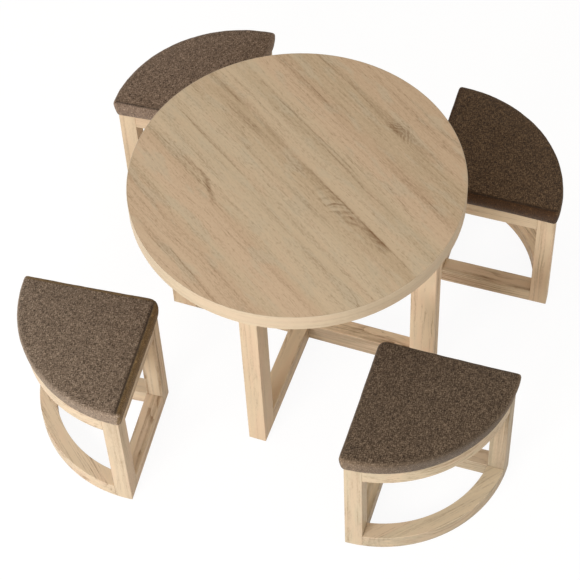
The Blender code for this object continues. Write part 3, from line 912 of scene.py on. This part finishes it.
def screw_head(bm, matrix):
    """A round head with a six-sided socket, its underside at the origin and its top along Z, put in its place."""
    rings = (
        (6, SOCKET_RADIUS, SCREW_HEIGHT - SOCKET_DEPTH), (6, SOCKET_RADIUS, SCREW_HEIGHT),
        (24, SCREW_RADIUS * 0.72, SCREW_HEIGHT * 0.94), (24, SCREW_RADIUS * 0.92, SCREW_HEIGHT * 0.66),
        (24, SCREW_RADIUS, SCREW_HEIGHT * 0.3), (24, SCREW_RADIUS, 0.0))
    loops = []
    for segments, radius, height in rings:
        lift = Matrix.Translation((0, 0, height))
        made = bmesh.ops.create_circle(bm, segments=segments, radius=radius, matrix=matrix @ lift)["verts"]
        loops.append(list({edge for vertex in made for edge in vertex.link_edges}))
    for first, second in zip(loops, loops[1:]):
        bmesh.ops.bridge_loops(bm, edges=first + second)
    for loop in (loops[0], loops[-1]):
        bmesh.ops.contextual_create(bm, geom=loop)


def make_bracket_screws():
    """Two screws in each steel angle, one up into the tabletop and one into the rail."""
    bm = bmesh.new()
    for number, side in enumerate(SIDES):
        arm = Matrix.Rotation(number * QUARTER_TURN, 4, "Z")
        low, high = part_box(f"top_bracket_{side}")
        ends = [arm.inverted() @ corner for corner in (low, high)]
        along = (ends[0].x + ends[1].x) / 2
        corner = min(ends[0].y, ends[1].y)
        up = Matrix.Translation((along, corner + SCREW_FROM_CORNER, high.z - SHEET))
        screw_head(bm, arm @ up @ Matrix.Rotation(2 * QUARTER_TURN, 4, "X"))
        across = Matrix.Translation((along, corner + SHEET, high.z - SCREW_FROM_CORNER))
        screw_head(bm, arm @ across @ Matrix.Rotation(-QUARTER_TURN, 4, "X"))
    bmesh.ops.recalc_face_normals(bm, faces=bm.faces)
    return as_object("bracket_screws", bm)


class TABLESET_OT_tabletop(bpy.types.Operator):
    """Finish the round board and its edge band"""

    bl_idname = "tableset.tabletop"
    bl_label = "Tabletop"

    def execute(self, context):
        wear("tabletop_panel", tabletop_material())
        wear("tabletop_edge_band", band_material())
        return {"FINISHED"}


class TABLESET_OT_base(bpy.types.Operator):
    """Finish the legs and the crossed rails"""

    bl_idname = "tableset.base"
    bl_label = "Crossed base"

    def execute(self, context):
        grains = [(f"leg_{side}", "Z") for side in SIDES]
        grains += [(f"{level}_rail_{axis}", axis.upper()) for level in ("floor", "top") for axis in ("x", "y")]
        for node, axis in grains:
            low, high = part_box(node)
            wear(node, board_material(node, Matrix.Translation((low + high) / 2), axis))
        return {"FINISHED"}


# Along which axis the grain of each piece of a stool runs, and the quarter turns of its frame from the stool's own
STOOL_GRAINS = {
    "inner_post": ("Z", 0), "left_post": ("Z", 0), "right_post": ("Z", 0),
    "left_bottom_rail": ("X", 0), "left_top_rail": ("X", 0), "right_bottom_rail": ("Y", 0), "right_top_rail": ("Y", 0),
    "arc_bottom_rail": ("X", 1.5), "arc_top_rail": ("X", 1.5),
}


class TABLESET_OT_stool_frames(bpy.types.Operator):
    """Finish the posts and rails of the four stools"""

    bl_idname = "tableset.stool_frames"
    bl_label = "Stool frames"

    def execute(self, context):
        for name in STOOLS:
            place = stool_place(name)
            for piece, (axis, quarters) in STOOL_GRAINS.items():
                node = f"stool_{name}_{piece}"
                turned = place @ Matrix.Rotation(quarters * QUARTER_TURN, 4, "Z")
                wear(node, board_material(node, turned, axis))
        return {"FINISHED"}


# Each seat's cover: the tones of its top; the tones of its straight sides and of its arc's ends and middle, which are
# painted light and shade; the rounding of its square corner; how far in from a straight side its seam runs; and the
# share of the full depth that the seam has on the side along Y, on the side along X and round the arc
SEAT_LOOK_PARTS = ("tones", "side", "arc", "corner", "inset", "creases")
SEAT_LOOKS_AND_PAINTED_LIGHT = {
    "back_right": ((0.44, 0.345, 0.235), (0.68, 0.53, 0.37), (1.2, 1.2), 0.024, 0.01, (0.2, 0.8, 0.2)),
    "back_left": ((0.91, 0.84, 0.82), (1.35, 1.43, 1.54), (1.3, 1.3), 0.024, 0.01, (0.8, 0.2, 0.2)),
    "front_left": ((0.91, 0.9, 0.9), (1.04, 0.91, 0.56), (1.62, 1.36), 0.034, 0.015, (1.0, 0.12, 0.2)),
    "front_right": ((0.56, 0.52, 0.47), (1.05, 1.05, 1.05), (1.92, 1.03), 0.026, 0.009, (0.12, 0.1, 0.2)),
}


class TABLESET_OT_seats(bpy.types.Operator):
    """Make the four padded seats and finish the boards that they stand on"""

    bl_idname = "tableset.seats"
    bl_label = "Padded seats"

    def execute(self, context):
        board = plywood_material()
        for number, name in enumerate(STOOLS):
            look = dict(zip(SEAT_LOOK_PARTS, SEAT_LOOKS_AND_PAINTED_LIGHT[name]))
            seat = make_cushion(name, number, look)
            seat.data.materials.append(fabric_material(f"woven_fabric_{name}", look, stool_place(name)))
            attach(seat, f"stool_{name}")
            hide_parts(f"stool_{name}_cushion")
            wear(f"stool_{name}_seat_board", board)
        return {"FINISHED"}


class TABLESET_OT_fittings(bpy.types.Operator):
    """Finish the steel angles under the tabletop and add their screws"""

    bl_idname = "tableset.fittings"
    bl_label = "Steel angles"

    def execute(self, context):
        zinc = steel_material("zinc_plated_steel", ZINC, ZINC_ROUGHNESS)
        for side in SIDES:
            wear(f"top_bracket_{side}", zinc)
        screws = make_bracket_screws()
        screws.data.materials.append(zinc)
        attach(screws, "table")
        return {"FINISHED"}


def area_light(name, power, place, target, size, colour):
    light = bpy.data.lights.new(name, "AREA")
    light.shape, light.energy, light.color = "RECTANGLE", power, colour
    light.size, light.size_y = size
    obj = placed(name, light)
    obj.location = place
    obj.rotation_euler = (Vector(target) - Vector(place)).to_track_quat("-Z", "Y").to_euler()


def seen_directly(web):
    """A factor of 1 where the camera, a reflection or clear glass looks at a surface."""
    path = web.node("ShaderNodeLightPath").socket.node
    direct = Wire(web, path.outputs["Is Camera Ray"])
    for name in ("Is Glossy Ray", "Is Transmission Ray"):
        direct = web.math("MAXIMUM", direct, Wire(web, path.outputs[name]))
    return direct


# Half the floor's width, its own colour, and how brightly it is lit, which the glow makes up to white
FLOOR_HALF = 12.0
FLOOR_COLOUR = (0.9, 0.84, 0.76)
FLOOR_LIGHT = 0.72
WHITE = (1.0, 1.0, 1.0)
ROOM_COLOUR = (1.0, 0.918, 0.812)
# The lamps: where each is, the point that it lights, its size and its colour
KEY_LAMP = ((-0.9, -4.9, 2.3), (0.0, 0.0, 0.4), (2.6, 1.6), (1.0, 1.01, 1.04))
SIDE_LAMP = ((-2.6, -0.9, 0.9), (0.0, 0.0, 0.45), (1.4, 0.9), WHITE)
SENSOR_WIDTH = 36.0
VIEW_DEPTH = 100.0


def floor_material(shade):
    """White paper floor that shows a share of its own shading, so that the shadows stay soft."""
    web = Web("studio_floor")
    missing = opaque([(1.0 - shade * FLOOR_LIGHT * c) / (1.0 - shade) for c in FLOOR_COLOUR])
    glow = web.node("ShaderNodeEmission", None, {"Color": missing})
    paper = Wire(web, web.shader.outputs[0])
    blend = web.node("ShaderNodeMixShader", None, {0: seen_directly(web) * (1.0 - shade), 1: paper, 2: glow})
    web.feed(web.tree.nodes["Material Output"].inputs["Surface"], blend)
    return web.finish({"Base Color": opaque(FLOOR_COLOUR), "Roughness": 1.0, "Specular IOR Level": 0.0})


def set_world(strength):
    """Even light from all round, behind which the camera sees plain white."""
    world = bpy.data.worlds.new("studio")
    bpy.context.scene.world = world
    web = Web("studio", world)
    room = web.tree.nodes["Background"]
    room.inputs["Color"].default_value = opaque(ROOM_COLOUR)
    room.inputs["Strength"].default_value = strength
    white = web.node("ShaderNodeBackground", None, {"Color": opaque(WHITE)})
    blend = web.node("ShaderNodeMixShader", None, {0: seen_directly(web), 1: Wire(web, room.outputs[0]), 2: white})
    web.feed(web.tree.nodes["World Output"].inputs["Surface"], blend)


class TABLESET_OT_studio(bpy.types.Operator):
    """Set up the floor, the light and the camera"""

    bl_idname = "tableset.studio"
    bl_label = "Studio"

    def execute(self, context):
        studio = context.scene.table_set.studio
        bm = bmesh.new()
        bmesh.ops.create_grid(bm, x_segments=1, y_segments=1, size=FLOOR_HALF)
        floor = as_object("studio_floor", bm)
        floor.data.materials.append(floor_material(studio.floor_shade))
        set_world(studio.sky)
        area_light("key", studio.key_power, *KEY_LAMP)
        area_light("side", studio.side_power, *SIDE_LAMP)

        camera = bpy.data.cameras.new("camera")
        camera.sensor_width = SENSOR_WIDTH
        camera.lens = studio.lens
        camera.clip_end = VIEW_DEPTH
        obj = placed("camera", camera)
        azimuth, height, level = studio.azimuth, math.sin(studio.elevation), math.cos(studio.elevation)
        back = Vector((math.sin(azimuth) * level, -math.cos(azimuth) * level, height))
        right = Matrix.Rotation(studio.roll, 3, back) @ Vector((math.cos(azimuth), math.sin(azimuth), 0.0))
        matrix = Matrix((right, back.cross(right), back)).transposed().to_4x4()
        matrix.translation = Vector(studio.target) + back * studio.distance
        obj.matrix_world = matrix
        context.scene.camera = obj
        context.scene.view_settings.view_transform = "Standard"
        return {"FINISHED"}


OPERATORS = (
    TABLESET_OT_tabletop,
    TABLESET_OT_base,
    TABLESET_OT_stool_frames,
    TABLESET_OT_seats,
    TABLESET_OT_fittings,
    TABLESET_OT_studio,
)


class TABLESET_PT_panel(bpy.types.Panel):
    """Buttons for each group of pieces"""

    bl_idname = "TABLESET_PT_panel"
    bl_label = "Table set"
    bl_space_type = "VIEW_3D"
    bl_region_type = "UI"
    bl_category = "Table set"

    def draw(self, context):
        for operator in OPERATORS:
            self.layout.operator(operator.bl_idname)


CLASSES = (
    OakSettings, FabricSettings, SeatSettings, StudioSettings, TableSetSettings, *OPERATORS, TABLESET_PT_panel)


def register():
    for cls in CLASSES:
        bpy.utils.register_class(cls)
    bpy.types.Scene.table_set = bpy.props.PointerProperty(type=TableSetSettings)


def unregister():
    del bpy.types.Scene.table_set
    for cls in reversed(CLASSES):
        bpy.utils.unregister_class(cls)


def main():
    register()
    bpy.ops.tableset.tabletop()
    bpy.ops.tableset.base()
    bpy.ops.tableset.stool_frames()
    bpy.ops.tableset.seats()
    bpy.ops.tableset.fittings()
    bpy.ops.tableset.studio()


if __name__ == "__main__":
    main()
